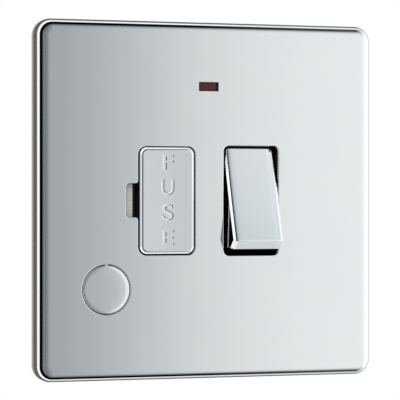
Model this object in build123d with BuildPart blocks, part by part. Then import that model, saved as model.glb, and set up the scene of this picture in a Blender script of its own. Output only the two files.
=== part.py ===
from build123d import *
import math
import os

# A single-gang fused spur unit with a switch, a pilot light and a flex outlet, in millimetres.
# The wall is the plane Y = 0, the front faces -Y, +X is to the right and +Z is up.
# In the names, "out" is a distance in front of the wall and "depth" a distance behind it.

# Front plate, a pressed tray of plated sheet
plate_size = 86.0
plate_corner_radius = 4.0
plate_out = 4.5
sheet_thickness = 1.0
edge_radius = 2.0
inner_chamfer = 0.6
tray_corner = 1.76

# Openings in the front plate
rocker_x = 11.0
rocker_opening_width = 14.1
rocker_opening_height = 26.8
rocker_opening_radius = 1.3
fuse_x = -10.6
fuse_opening_width = 14.3
fuse_opening_radius = 2.0
notch_reach = 3.1
notch_height = 8.0
notch_corner_radius = 0.9
notch_blend_radius = 0.8
neon_z = 27.4
neon_window_width = 5.2
neon_window_height = 2.3
outlet_x = -25.74
outlet_z = -21.25
outlet_diameter = 11.95
outlet_groove = 0.35
outlet_tie = 0.8

# Support frame, the moulding that is screwed to the wall box
rim_out = 1.7
rim_setback = 0.1
platform_gap = 1.0
plate_gap = 0.4
frame_skin = 1.6
frame_wall = 1.6
rib_thickness = 1.2
rib_setback = 0.2
rib_row_z = 34.0
rib_row_x = 14.0
screw_spacing = 60.3
screw_slot_width = 3.8
screw_slot_length = 6.0
screw_head_diameter = 7.6
screw_seat_out = 1.1
boss_wall = 1.6
clip_length = 6.0
clip_row = 24.0
clip_height = 0.9
clip_clearance = 0.1
flex_hole_diameter = 10.0

# Cord grip behind the flex outlet
grip_offset = -1.15
grip_above_outlet = 10.85
grip_boss_spacing = 10.2
grip_boss_width = 3.4
grip_boss_depth = 4.0
grip_bar_height = 5.0
grip_bar_thickness = 2.4
grip_bar_rise = 1.2
grip_ridge = 0.8
grip_tongue_height = 2.4
grip_tongue_thickness = 1.6
grip_tongue_fit = 0.1
grip_post_wall = 1.2
grip_screw_diameter = 2.2
grip_screw_head_diameter = 3.6
grip_screw_head = 1.6
grip_screw_length = 6.0
grip_screw_fit = 0.05

# Housing and its rear cover
housing_above_neon = 3.1
housing_depth = 14.0
housing_wall = 1.6
housing_corner_radius = 2.0
well_wall = 1.0
well_clearance = 0.1
housing_side_margin = 0.9
rocker_well_depth = 4.0
fuse_well_depth = 11.0
notch_lowering = 1.2
cover_thickness = 2.5
cover_chamfer = 0.8
hook_width = 4.0
hook_thickness = 1.2
hook_reach = 0.8
hook_nose = 1.6
hook_catch_depth = 10.5
hook_clearance = 0.1
snap_x = 6.25
snap_width = 5.0
snap_thickness = 1.4
snap_hook = 0.8
snap_depth = 4.3
snap_nose = 1.2
snap_clearance = 0.2

# Rocker, in its own frame: up along its length and forward from its pivot
pivot_out = 1.4
rocker_tilt = 14.75
ridge_half_length = 11.3
ridge_forward = 5.8
knee_half_length = 12.63
knee_forward = 1.64
skirt_half_length = 12.5
skirt_back = 0.5
face_hollow = 0.35
rocker_half_width = 6.75
rocker_taper = 5.0
rocker_edge = 0.5
cap_wall = 0.9
core_fit = 0.1
trunnion_diameter = 2.5
trunnion_clearance = 0.06
trunnion_end_gap = 0.2
tail_half_length = 4.5
tail_end_half_length = 3.4
tail_reach = 5.2

# Switch mechanism
pole_offset = 3.2
plunger_width = 2.4
plunger_reach = 8.5
plunger_length = 5.2
plunger_nose = 0.85
plunger_fit = 0.05
spring_wire = 0.32
spring_turns = 4
steps_per_turn = 10
spring_length = 4.0
spring_fit = 0.12
plunger_gap = 0.3
blade_tilt = 7.0
blade_bend = 14.0
blade_thickness = 0.8
blade_width = 3.0
blade_knee = 3.0
blade_half_length = 10.2
tip_width = 2.4
tip_thickness = 0.5
tip_z = 8.8
contact_gap = 0.1
fork_clearance = 0.15
fork_wall = 0.6
post_height = 3.2
post_clearance = 0.1
strip_thickness = 0.8
strip_width = 3.0
link_z = 5.0
barrier_thickness = 1.0
barrier_half_length = 11.5
barrier_depth = 6.8

# Fuse and its carrier
carrier_clearance = 0.25
carrier_proud = 0.5
carrier_cap_thickness = 1.2
carrier_cap_edge = 0.45
carrier_body_clearance = 0.45
carrier_body_depth = 2.0
carrier_body_corner = 1.0
carrier_wall = 1.5
carrier_grip_recess = 1.2
carrier_cheek_half_height = 6.2
carrier_cheek_wall = 1.6
carrier_cheek_past = 1.5
fuse_length = 25.4
fuse_diameter = 6.35
fuse_cap_length = 5.6
fuse_end_margin = 0.45
fuse_barrel_diameter = 5.9
fuse_depth = 6.0
fuse_fit = 0.1
clip_thickness = 0.7
clip_width = 4.6
clip_jaw_lead = 2.0
clip_lip = 0.9

# Terminals
terminal_x = 12.5
terminal_width = 7.0
terminal_height = 8.0
terminal_length = 8.5
terminal_wall_gap = 0.2
wire_way_width = 4.4
wire_way_depth = 4.6
wire_way_length = 6.4
wire_way_back = 4.8
terminal_screw_diameter = 4.0
terminal_screw_length = 4.4
terminal_screw_fit = 0.05
terminal_screw_lift = 0.3
terminal_slot_width = 1.0
terminal_slot_depth = 0.8
screw_window_margin = 0.8
wire_entry_margin = 0.5
partition_thickness = 1.2

# Pilot light
lens_clearance = 0.1
lens_recess = 0.4
lens_flange = 0.7
lens_flange_thickness = 0.3
lens_tail_out = 0.2
lamp_diameter = 3.6
lamp_length = 9.0
lamp_clearance = 0.1
lead_width = 0.5
lead_length = 1.6
resistor_diameter = 2.2
resistor_length = 5.0
cradle_thickness = 1.2
cradle_wall = 0.8

# Earth strap
strap_front_depth = 6.0
strap_width = 3.0
strap_arm_height = 5.0
strap_touch_gap = 0.1
strap_slot_clearance = 0.3

# Places that follow from the sizes above
plate_back_out = plate_out - sheet_thickness
fuse_opening_height = fuse_length + 2 * fuse_end_margin
frame_size = plate_size - 2 * rim_setback
platform_size = plate_size - 2 * (sheet_thickness + platform_gap)
platform_corner = plate_corner_radius - sheet_thickness - platform_gap
platform_out = plate_back_out - plate_gap
seat_out = platform_out - frame_skin
hollow_size = platform_size - 2 * frame_wall
housing_half_width = (
    max(rocker_x + rocker_opening_width / 2, -fuse_x + fuse_opening_width / 2)
    + well_wall + housing_side_margin
)
housing_half_height = neon_z + housing_above_neon
housing_inner_half_width = housing_half_width - housing_wall
housing_inner_half_height = housing_half_height - housing_wall
housing_front_depth = housing_wall - seat_out
cover_back_depth = housing_depth + cover_thickness
grip_x = outlet_x + grip_offset
grip_z = outlet_z + grip_above_outlet
fuse_left = fuse_x - fuse_opening_width / 2
live_x = rocker_x + pole_offset
neutral_x = rocker_x - pole_offset
terminal_outer_z = housing_inner_half_height - terminal_wall_gap
terminal_inner_z = terminal_outer_z - terminal_height
terminal_front_depth = housing_depth - terminal_length
wire_way_mid_depth = housing_depth - wire_way_back
terminal_places = [(x, side) for side in (1, -1) for x in (-terminal_x, 0, terminal_x)]
terminal_mid_z = terminal_outer_z - terminal_height / 2
bridge_z = (fuse_opening_height / 2 + well_wall + terminal_inner_z) / 2
clip_z = (fuse_length - fuse_cap_length) / 2
carrier_out = plate_out + carrier_proud
carrier_cap_back_out = carrier_out - carrier_cap_thickness
lamp_depth = housing_front_depth + lamp_clearance + lamp_diameter / 2
resistor_x = lamp_length / 2 + lead_length + resistor_length / 2
blade_axis_depth = plunger_reach - pivot_out + plunger_gap
blade_knee_rise = blade_knee * math.tan(math.radians(blade_bend))
tilt = math.radians(rocker_tilt)
swing = math.radians(blade_tilt)
foot_depth = housing_depth - strip_thickness

# The moving tip meets the fixed tip when the blade leans back by its tilt
tip_back = blade_thickness + tip_thickness - blade_knee_rise
tip_edge_z = tip_z + tip_width / 2
contact_depth = (
    blade_axis_depth + tip_back * math.cos(swing) + tip_edge_z * math.sin(swing) + contact_gap
)
contact_z = tip_z * math.cos(swing)
contact_strip_depth = contact_depth + tip_thickness
contact_low_z = contact_z - strip_width / 2

# Rocker's own planes: from its side, and from its front
rocker_up = (0, math.sin(tilt), math.cos(tilt))
rocker_forward = (0, -math.cos(tilt), math.sin(tilt))
rocker_pivot = (rocker_x, -pivot_out, 0)
rocker_side = Plane(origin=rocker_pivot, x_dir=rocker_up, z_dir=(1, 0, 0))
rocker_front = Plane(origin=rocker_pivot, x_dir=(1, 0, 0), z_dir=rocker_forward)
rocker_axis = Axis(rocker_pivot, rocker_forward)

os.makedirs("parts", exist_ok=True)


def facing(out):
    """Plane parallel to the wall, seen from the front, a distance in front of it."""
    return Plane.XZ.offset(out)


def behind(depth):
    """Plane parallel to the wall, seen from the front, a distance behind it."""
    return Plane.XZ.offset(-depth)


def well_outline(growth):
    """The two wells' outlines, wider than the plate's openings by a growth all round."""
    with Locations((rocker_x, 0)):
        Rectangle(rocker_opening_width + 2 * growth, rocker_opening_height + 2 * growth)
    with Locations((fuse_x, 0)):
        Rectangle(fuse_opening_width + 2 * growth, fuse_opening_height + 2 * growth)


def save(piece, name):
    """Name a finished piece and write it to its own file."""
    piece.part.label = name
    export_step(piece.part, f"parts/{name}.step")


# Front plate: a shallow tray with a round front edge, hollowed to the sheet's thickness
with BuildPart() as front_plate:
    with BuildSketch(facing(rim_out)):
        RectangleRounded(plate_size, plate_size, plate_corner_radius)
    extrude(amount=plate_out - rim_out)
    fillet(front_plate.faces().sort_by(Axis.Y)[0].edges(), radius=edge_radius)
    with BuildSketch(facing(rim_out)) as tray:
        tray_size = plate_size - 2 * sheet_thickness
        Rectangle(tray_size, tray_size)
        chamfer(tray.vertices(), length=tray_corner)
    extrude(amount=plate_back_out - rim_out, mode=Mode.SUBTRACT)
    tray_floor = front_plate.faces().filter_by(Axis.Y).sort_by(Axis.Y)[1]
    chamfer(tray_floor.edges(), length=inner_chamfer)
    with BuildSketch(facing(plate_out)):
        with Locations((rocker_x, 0)):
            RectangleRounded(rocker_opening_width, rocker_opening_height, rocker_opening_radius)
        with Locations((0, neon_z)):
            Rectangle(neon_window_width, neon_window_height)
    extrude(amount=-2 * sheet_thickness, mode=Mode.SUBTRACT)
    # Fuse opening with the screwdriver notch in its left side
    with BuildSketch(facing(plate_out)) as fuse_opening:
        with Locations((fuse_x, 0)):
            RectangleRounded(fuse_opening_width, fuse_opening_height, fuse_opening_radius)
        with Locations((fuse_left, 0)):
            RectangleRounded(2 * notch_reach, notch_height, notch_corner_radius)
        meeting = [v for v in fuse_opening.vertices()
                   if abs(v.X - fuse_left) < notch_corner_radius and abs(v.Y) < notch_height]
        fillet(meeting, notch_blend_radius)
    extrude(amount=-2 * sheet_thickness, mode=Mode.SUBTRACT)
    # Knock-out for the flex: a ring cut through, with one tie left at its top
    with BuildSketch(facing(plate_out)):
        with Locations((outlet_x, outlet_z)):
            Circle(outlet_diameter / 2)
            Circle(outlet_diameter / 2 - outlet_groove, mode=Mode.SUBTRACT)
        with Locations((outlet_x, outlet_z + outlet_diameter / 2)):
            Rectangle(outlet_tie, 4 * outlet_groove, mode=Mode.SUBTRACT)
    extrude(amount=-2 * sheet_thickness, mode=Mode.SUBTRACT)
save(front_plate, "front_plate")

# Support frame: a rim that shows behind the plate, a raised platform and a ribbed hollow back
with BuildPart() as support_frame:
    with BuildSketch(facing(0)):
        RectangleRounded(frame_size, frame_size, plate_corner_radius - rim_setback)
    extrude(amount=rim_out)
    with BuildSketch(facing(rim_out)) as platform:
        Rectangle(platform_size, platform_size)
        chamfer(platform.vertices(), length=platform_corner)
    extrude(amount=platform_out - rim_out)
    with BuildSketch(facing(0)):
        Rectangle(hollow_size, hollow_size)
    extrude(amount=seat_out, mode=Mode.SUBTRACT)
    # Ribs from the side walls to the housing's seat, and bosses round the wall screws
    rib_run_x = hollow_size / 2 - housing_half_width - snap_clearance
    rib_run_z = hollow_size / 2 - housing_half_height - snap_clearance
    recess_length = screw_slot_length - screw_slot_width + screw_head_diameter
    with BuildSketch(facing(rib_setback)):
        with GridLocations(hollow_size - rib_run_x, 2 * rib_row_z, 2, 2):
            Rectangle(rib_run_x, rib_thickness)
        with GridLocations(2 * rib_row_x, hollow_size - rib_run_z, 2, 2):
            Rectangle(rib_thickness, rib_run_z)
        with GridLocations(screw_spacing, 0, 2, 1):
            Rectangle(recess_length + 2 * boss_wall, screw_head_diameter + 2 * boss_wall)
    extrude(amount=seat_out - rib_setback)
    # Clips that hold the plate's rim, two on each side
    with BuildSketch(facing(rim_out)):
        clip_reach = platform_gap - clip_clearance
        clip_spread = platform_size + clip_reach
        with GridLocations(clip_row, clip_spread, 2, 2):
            Rectangle(clip_length, clip_reach)
        with GridLocations(clip_spread, clip_row, 2, 2):
            Rectangle(clip_reach, clip_length)
    extrude(amount=clip_height)
    # Screw boss and slotted post for the cord grip
    screw_x = grip_x + grip_boss_spacing / 2
    post_x = grip_x - grip_boss_spacing / 2
    tongue_back = grip_boss_depth + grip_tongue_thickness + grip_tongue_fit
    with BuildSketch(facing(seat_out)):
        with Locations((screw_x, grip_z)):
            Rectangle(grip_boss_width, grip_boss_width)
    extrude(amount=-(seat_out + grip_boss_depth))
    with BuildSketch(behind(grip_boss_depth)):
        with Locations((screw_x, grip_z)):
            Circle(grip_screw_diameter / 2)
    extrude(amount=grip_screw_length - grip_bar_thickness, mode=Mode.SUBTRACT)
    with BuildSketch(facing(seat_out)):
        with Locations((post_x, grip_z)):
            Rectangle(grip_boss_width, grip_bar_height)
    extrude(amount=-(seat_out + tongue_back + grip_post_wall))
    with BuildSketch(behind(tongue_back)):
        with Locations((post_x, grip_z)):
            Rectangle(2 * grip_boss_width, grip_tongue_height + 2 * grip_tongue_fit)
    extrude(amount=tongue_back - grip_boss_depth, mode=Mode.SUBTRACT)
    # Snap arms that hold the housing, above and below it
    arm_inner = housing_half_height + snap_clearance
    arm_outer = arm_inner + snap_thickness
    hook_edge = arm_inner - snap_hook - snap_clearance
    for side in (1, -1):
        for x in (-snap_x, snap_x):
            with BuildSketch(Plane.YZ.offset(x)):
                with BuildLine():
                    Polyline(
                        (-seat_out, side * arm_inner),
                        (snap_depth, side * arm_inner),
                        (snap_depth, side * hook_edge),
                        (snap_depth + snap_nose, side * arm_inner),
                        (snap_depth + snap_nose, side * arm_outer),
                        (-seat_out, side * arm_outer),
                        close=True,
                    )
                make_face()
            extrude(amount=snap_width / 2, both=True)
    # Openings: the two wells, the lens, the earth strap, the flex, and the wall screws
    with BuildSketch(facing(platform_out)):
        well_outline(well_wall + well_clearance)
        with Locations((0, neon_z)):
            Rectangle(neon_window_width, neon_window_height)
        with Locations((outlet_x, outlet_z)):
            Circle(flex_hole_diameter / 2)
        Rectangle(
            strip_thickness + 2 * strap_slot_clearance, strap_arm_height + 2 * strap_slot_clearance
        )
        with GridLocations(screw_spacing, 0, 2, 1):
            SlotOverall(screw_slot_length, screw_slot_width)
    extrude(amount=-platform_out, mode=Mode.SUBTRACT)
    with BuildSketch(facing(screw_seat_out)):
        with GridLocations(screw_spacing, 0, 2, 1):
            Rectangle(recess_length, screw_head_diameter)
    extrude(amount=platform_out - screw_seat_out, mode=Mode.SUBTRACT)
save(support_frame, "support_frame")

# Cord grip bar: an arched bridge with a tongue at one end and a ridge that bites on the flex
with BuildPart() as cord_grip_bar:
    bar_half = (grip_boss_spacing + grip_boss_width) / 2
    arch_half = bar_half - grip_boss_width - grip_tongue_fit
    bar_back = grip_boss_depth + grip_bar_thickness
    with BuildSketch(Plane.XY.offset(grip_z)):
        with BuildLine():
            Polyline(
                (grip_x + arch_half, grip_boss_depth),
                (grip_x + bar_half, grip_boss_depth),
                (grip_x + bar_half, bar_back),
                (grip_x - arch_half, bar_back),
                (grip_x - arch_half, grip_boss_depth),
            )
            ThreePointArc(
                (grip_x - arch_half, grip_boss_depth),
                (grip_x, grip_boss_depth + grip_bar_rise),
                (grip_x + arch_half, grip_boss_depth),
            )
        make_face()
    extrude(amount=grip_bar_height / 2, both=True)
    chamfer(cord_grip_bar.edges().filter_by(Axis.Z).group_by(Axis.Y)[-1], length=grip_ridge)
    with BuildSketch(behind(grip_boss_depth)):
        with Locations((grip_x, grip_z)):
            Rectangle(arch_half, grip_ridge)
    extrude(amount=-(grip_bar_rise + grip_ridge))
    with BuildSketch(behind(grip_boss_depth)):
        with Locations((post_x, grip_z)):
            Rectangle(grip_boss_width + 2 * grip_tongue_fit, grip_tongue_height)
    extrude(amount=-grip_tongue_thickness)
    with BuildSketch(behind(bar_back)):
        with Locations((screw_x, grip_z)):
            Circle(grip_screw_diameter / 2)
    extrude(amount=grip_bar_thickness, mode=Mode.SUBTRACT)
save(cord_grip_bar, "cord_grip_bar")

# Cord grip screw, driven from behind
with BuildPart() as cord_grip_screw:
    with BuildSketch(behind(bar_back)):
        with Locations((screw_x, grip_z)):
            Circle(grip_screw_diameter / 2 - grip_screw_fit)
    extrude(amount=grip_screw_length - 2 * grip_screw_fit)
    with BuildSketch(behind(bar_back)):
        with Locations((screw_x, grip_z)):
            Circle(grip_screw_head_diameter / 2)
    extrude(amount=-grip_screw_head)
save(cord_grip_screw, "cord_grip_screw")

# Housing: a case open at the back, with a walled well for the rocker and one for the fuse carrier
with BuildPart() as front_housing:
    with BuildSketch(facing(seat_out)):
        RectangleRounded(2 * housing_half_width, 2 * housing_half_height, housing_corner_radius)
    extrude(amount=-(seat_out + housing_depth))
    with BuildSketch(behind(housing_front_depth)):
        Rectangle(2 * housing_inner_half_width, 2 * housing_inner_half_height)
    extrude(amount=housing_front_depth - housing_depth, mode=Mode.SUBTRACT)
    for x, width, height, depth in (
        (rocker_x, rocker_opening_width, rocker_opening_height, rocker_well_depth),
        (fuse_x, fuse_opening_width, fuse_opening_height, fuse_well_depth),
    ):
        with BuildSketch(facing(platform_out)):
            with Locations((x, 0)):
                Rectangle(width + 2 * well_wall, height + 2 * well_wall)
        extrude(amount=-(platform_out + depth))
    # Partitions between the terminals
    partition_run = housing_inner_half_height - terminal_inner_z + partition_thickness
    with BuildSketch(behind(terminal_front_depth)):
        with GridLocations(terminal_x, 2 * housing_inner_half_height - partition_run, 2, 2):
            Rectangle(partition_thickness, partition_run)
    extrude(amount=-terminal_length)
    # Cradles for the lamp and its resistor, with a square pocket for each
    cradle_x = lamp_length / 2 - cradle_thickness
    pocket_back_depth = lamp_depth + lamp_diameter / 2 + lamp_clearance
    with BuildSketch(behind(housing_front_depth)):
        with Locations((-cradle_x, neon_z), (cradle_x, neon_z)):
            Rectangle(cradle_thickness, lamp_diameter + 2 * cradle_wall)
        with Locations((resistor_x, neon_z)):
            Rectangle(cradle_thickness, resistor_diameter + 2 * cradle_wall)
    extrude(amount=housing_front_depth - lamp_depth)
    with BuildSketch(behind(housing_front_depth)):
        with Locations((0, neon_z)):
            Rectangle(lamp_length, lamp_diameter + 2 * lamp_clearance)
        with Locations((resistor_x, neon_z)):
            Rectangle(resistor_length, resistor_diameter + 2 * lamp_clearance)
    extrude(amount=housing_front_depth - pocket_back_depth, mode=Mode.SUBTRACT)
    # Front openings: the wells, the lens and the earth strap
    with BuildSketch(facing(platform_out)):
        well_outline(0)
    extrude(amount=-(platform_out + housing_depth), mode=Mode.SUBTRACT)
    with BuildSketch(facing(seat_out)):
        with Locations((0, neon_z)):
            Rectangle(neon_window_width, neon_window_height)
        Rectangle(
            strip_thickness + 2 * strap_slot_clearance, strap_arm_height + 2 * strap_slot_clearance
        )
    extrude(amount=-housing_wall, mode=Mode.SUBTRACT)
    # The fuse well's wall is lower at the screwdriver notch
    with BuildSketch(facing(platform_out)):
        with Locations((fuse_left - well_wall / 2, 0)):
            Rectangle(2 * well_wall, notch_height)
    extrude(amount=-notch_lowering, mode=Mode.SUBTRACT)
    # Wire entries and snap recesses in the top and bottom walls
    recess_length = snap_nose + 2 * snap_clearance
    for side in (1, -1):
        with BuildSketch(Plane.XY.offset(side * housing_half_height)):
            with Locations((0, wire_way_mid_depth)):
                with GridLocations(terminal_x, 0, 3, 1):
                    Rectangle(
                        wire_way_width + 2 * wire_entry_margin, wire_way_depth + 2 * wire_entry_margin
                    )
        extrude(amount=-side * housing_wall, mode=Mode.SUBTRACT)
        with BuildSketch(Plane.XY.offset(side * housing_half_height)):
            with Locations((0, snap_depth + snap_nose / 2)):
                with GridLocations(2 * snap_x, 0, 2, 1):
                    Rectangle(snap_width + 2 * snap_clearance, recess_length)
        extrude(amount=-side * (snap_hook + snap_clearance), mode=Mode.SUBTRACT)
    # Holes for the rocker's trunnions, and windows in the sides for the cover's hooks
    with BuildSketch(Plane.YZ.offset(rocker_x)):
        with Locations((-pivot_out, 0)):
            Circle(trunnion_diameter / 2 + trunnion_clearance)
    extrude(amount=rocker_opening_width / 2 + well_wall, both=True, mode=Mode.SUBTRACT)
    for side in (1, -1):
        with BuildSketch(Plane.YZ.offset(side * housing_half_width)):
            with Locations((hook_catch_depth - hook_nose / 2, 0)):
                with GridLocations(0, 2 * bridge_z, 1, 2):
                    Rectangle(hook_nose + 2 * hook_clearance, hook_width + 2 * hook_clearance)
        extrude(amount=-side * housing_wall, mode=Mode.SUBTRACT)
save(front_housing, "front_housing")

# Rear cover: snaps into the case and carries the contact supports and the wall between the poles
with BuildPart() as rear_cover:
    with BuildSketch(behind(housing_depth)):
        RectangleRounded(2 * housing_half_width, 2 * housing_half_height, housing_corner_radius)
    extrude(amount=-cover_thickness)
    chamfer(rear_cover.faces().sort_by(Axis.Y)[-1].edges(), length=cover_chamfer)
    with BuildSketch(behind(housing_depth)):
        with Locations((live_x, contact_z), (neutral_x, contact_z)):
            Rectangle(tip_width, tip_width)
    extrude(amount=housing_depth - contact_strip_depth - strip_thickness)
    with BuildSketch(behind(housing_depth)):
        with Locations((rocker_x, 0)):
            Rectangle(barrier_thickness, 2 * barrier_half_length)
    extrude(amount=housing_depth - barrier_depth)
    with BuildSketch(behind(housing_depth)):
        with Locations((rocker_x, link_z)):
            Rectangle(2 * barrier_thickness, strip_width + 2 * post_clearance)
    extrude(amount=strip_thickness + post_clearance, mode=Mode.SUBTRACT)
    # Hooks that snap into the windows in the case's sides
    hook_outer = housing_inner_half_width - hook_clearance
    for side in (1, -1):
        for z in (-bridge_z, bridge_z):
            with BuildSketch(Plane.XY.offset(z)):
                with BuildLine():
                    Polyline(
                        (side * (hook_outer - hook_thickness), housing_depth),
                        (side * hook_outer, housing_depth),
                        (side * hook_outer, hook_catch_depth),
                        (side * (hook_outer + hook_reach), hook_catch_depth),
                        (side * hook_outer, hook_catch_depth - hook_nose),
                        (side * (hook_outer - hook_thickness), hook_catch_depth - hook_nose),
                        close=True,
                    )
                make_face()
            extrude(amount=hook_width / 2, both=True)
    # Windows to reach the terminal screws
    screw_window = terminal_screw_diameter + 2 * screw_window_margin
    with BuildSketch(behind(cover_back_depth)):
        with GridLocations(terminal_x, 2 * terminal_mid_z, 3, 2):
            Rectangle(screw_window, screw_window)
    extrude(amount=cover_thickness, mode=Mode.SUBTRACT)
save(rear_cover, "rear_cover")

# Rocker cap: a plated shell with a hollowed face, thinner towards the front
with BuildPart() as rocker_cap:
    with BuildSketch(rocker_side):
        with BuildLine():
            Polyline(
                (-ridge_half_length, ridge_forward),
                (-knee_half_length, knee_forward),
                (-skirt_half_length, -skirt_back),
                (skirt_half_length, -skirt_back),
                (knee_half_length, knee_forward),
                (ridge_half_length, ridge_forward),
            )
            ThreePointArc(
                (-ridge_half_length, ridge_forward),
                (0, ridge_forward - face_hollow),
                (ridge_half_length, ridge_forward),
            )
        make_face()
    extrude(amount=rocker_half_width, both=True)
    with BuildSketch(rocker_front.offset(-skirt_back)):
        Rectangle(2 * rocker_half_width, 4 * skirt_half_length)
    extrude(amount=2 * ridge_forward, taper=rocker_taper, mode=Mode.INTERSECT)
    back_edges = rocker_cap.faces().sort_by(rocker_axis)[0].edges()
    knee_edges = rocker_cap.edges().filter_by(Axis.X).group_by(rocker_axis)[1]
    chamfer(rocker_cap.edges() - back_edges - knee_edges, length=rocker_edge)
    front_half_width = rocker_half_width - ridge_forward * math.tan(math.radians(rocker_taper))
    inner_half_width = front_half_width - cap_wall
    inner_forward = ridge_forward - face_hollow - cap_wall
    with BuildSketch(rocker_side):
        with BuildLine():
            Polyline(
                (-(ridge_half_length - cap_wall), inner_forward),
                (-(skirt_half_length - cap_wall), -skirt_back),
                (skirt_half_length - cap_wall, -skirt_back),
                (ridge_half_length - cap_wall, inner_forward),
                close=True,
            )
        make_face()
    extrude(amount=inner_half_width, both=True, mode=Mode.SUBTRACT)
    # Slots in the sides for the trunnions
    slot_forward = trunnion_diameter / 2 + core_fit
    with BuildSketch(rocker_side):
        with Locations((0, (slot_forward - skirt_back) / 2)):
            Rectangle(2 * slot_forward, slot_forward + skirt_back)
    extrude(amount=rocker_half_width, both=True, mode=Mode.SUBTRACT)
save(rocker_cap, "rocker_cap")

# Rocker core: fills the cap, turns on two trunnions and guides the plungers in its tail
with BuildPart() as rocker_core:
    with BuildSketch(rocker_side):
        with BuildLine():
            Polyline(
                (-(ridge_half_length - cap_wall - core_fit), inner_forward),
                (-(skirt_half_length - cap_wall - core_fit), -skirt_back),
                (-tail_half_length, -skirt_back),
                (-tail_end_half_length, -tail_reach),
                (tail_end_half_length, -tail_reach),
                (tail_half_length, -skirt_back),
                (skirt_half_length - cap_wall - core_fit, -skirt_back),
                (ridge_half_length - cap_wall - core_fit, inner_forward),
                close=True,
            )
        make_face()
    extrude(amount=inner_half_width - core_fit, both=True)
    with BuildSketch(rocker_side):
        Circle(trunnion_diameter / 2)
    extrude(amount=rocker_opening_width / 2 + well_wall - trunnion_end_gap, both=True)
    with BuildSketch(rocker_front.offset(-tail_reach)):
        with GridLocations(2 * pole_offset, 0, 2, 1):
            Rectangle(plunger_width + 2 * plunger_fit, plunger_width + 2 * plunger_fit)
    bore_length = tail_reach - plunger_reach + plunger_length + spring_length
    extrude(amount=bore_length, mode=Mode.SUBTRACT)
save(rocker_core, "rocker_core")

# Plungers with wedge noses, pushed out of the core by their springs
with BuildPart() as plungers:
    plunger_half = plunger_width / 2
    for pole in (-pole_offset, pole_offset):
        with BuildSketch(rocker_side.offset(pole)):
            with BuildLine():
                Polyline(
                    (-plunger_half, plunger_length - plunger_reach),
                    (-plunger_half, plunger_nose - plunger_reach),
                    (plunger_nose - plunger_half, -plunger_reach),
                    (plunger_half - plunger_nose, -plunger_reach),
                    (plunger_half, plunger_nose - plunger_reach),
                    (plunger_half, plunger_length - plunger_reach),
                    close=True,
                )
            make_face()
        extrude(amount=plunger_half, both=True)
save(plungers, "plungers")

# Plunger springs, one wound coil behind each plunger
with BuildPart() as plunger_springs:
    spring_radius = plunger_half - spring_wire / 2 - spring_fit
    coil_height = spring_length - spring_wire - 2 * plunger_fit
    coil_start = plunger_length - plunger_reach + spring_wire / 2 + plunger_fit
    coil_steps = spring_turns * steps_per_turn
    turn_step = 2 * math.pi / steps_per_turn
    for pole in (-pole_offset, pole_offset):
        with BuildLine(rocker_front.offset(coil_start)) as coil:
            Polyline(*(
                (
                    pole + spring_radius * math.cos(step * turn_step),
                    spring_radius * math.sin(step * turn_step),
                    coil_height * step / coil_steps,
                )
                for step in range(coil_steps + 1)
            ))
        with BuildSketch(Plane(origin=coil.line @ 0, z_dir=coil.line % 0)):
            Rectangle(spring_wire, spring_wire)
        sweep(path=coil.wire(), transition=Transition.RIGHT)
save(plunger_springs, "plunger_springs")

# Contact blades: each rocks on its post, bent at the middle so that the plunger snaps it over
blade_side = {}
for name, x in (("live_blade", live_x), ("neutral_blade", neutral_x)):
    blade_side[x] = Plane(
        origin=(x, blade_axis_depth, 0),
        x_dir=(0, -math.sin(swing), math.cos(swing)),
        z_dir=(1, 0, 0),
    )
    with BuildPart() as blade:
        with BuildSketch(blade_side[x]):
            with BuildLine():
                Polyline(
                    (-blade_half_length, blade_knee_rise),
                    (-blade_knee, blade_knee_rise),
                    (0, 0),
                    (blade_knee, blade_knee_rise),
                    (blade_half_length, blade_knee_rise),
                )
                offset(amount=blade_thickness, side=Side.RIGHT)
            make_face()
        extrude(amount=blade_width / 2, both=True)
    save(blade, name)

# Silver tips on the blades
for name, x in (("live_moving_tip", live_x), ("neutral_moving_tip", neutral_x)):
    tip_seat = blade_side[x]
    with BuildPart() as tip:
        with BuildSketch(Plane(
            origin=tip_seat.from_local_coords((tip_z, blade_knee_rise - blade_thickness, 0)),
            x_dir=(1, 0, 0),
            z_dir=tip_seat.y_dir,
        )):
            Rectangle(tip_width, tip_width)
        extrude(amount=-tip_thickness)
    save(tip, name)

# Fixed contacts: flat stampings that run from the supply terminals to the blades
with BuildPart() as live_fixed_contact:
    with BuildSketch(behind(contact_strip_depth)):
        with Locations((live_x, (contact_low_z + terminal_inner_z) / 2)):
            Rectangle(strip_width, terminal_inner_z - contact_low_z)
    extrude(amount=-strip_thickness)
save(live_fixed_contact, "live_fixed_contact")

with BuildPart() as neutral_fixed_contact:
    with BuildSketch(behind(contact_strip_depth)):
        with BuildLine():
            Polyline((neutral_x, contact_low_z), (neutral_x, bridge_z), (-terminal_x, bridge_z),
                     (-terminal_x, terminal_inner_z))
        trace(line_width=strip_width)
    extrude(amount=-strip_thickness)
save(neutral_fixed_contact, "neutral_fixed_contact")

with BuildPart() as fixed_tips:
    with BuildSketch(behind(contact_depth)):
        with Locations((live_x, contact_z), (neutral_x, contact_z)):
            Rectangle(tip_width, tip_width)
    extrude(amount=-tip_thickness)
save(fixed_tips, "fixed_tips")

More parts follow.
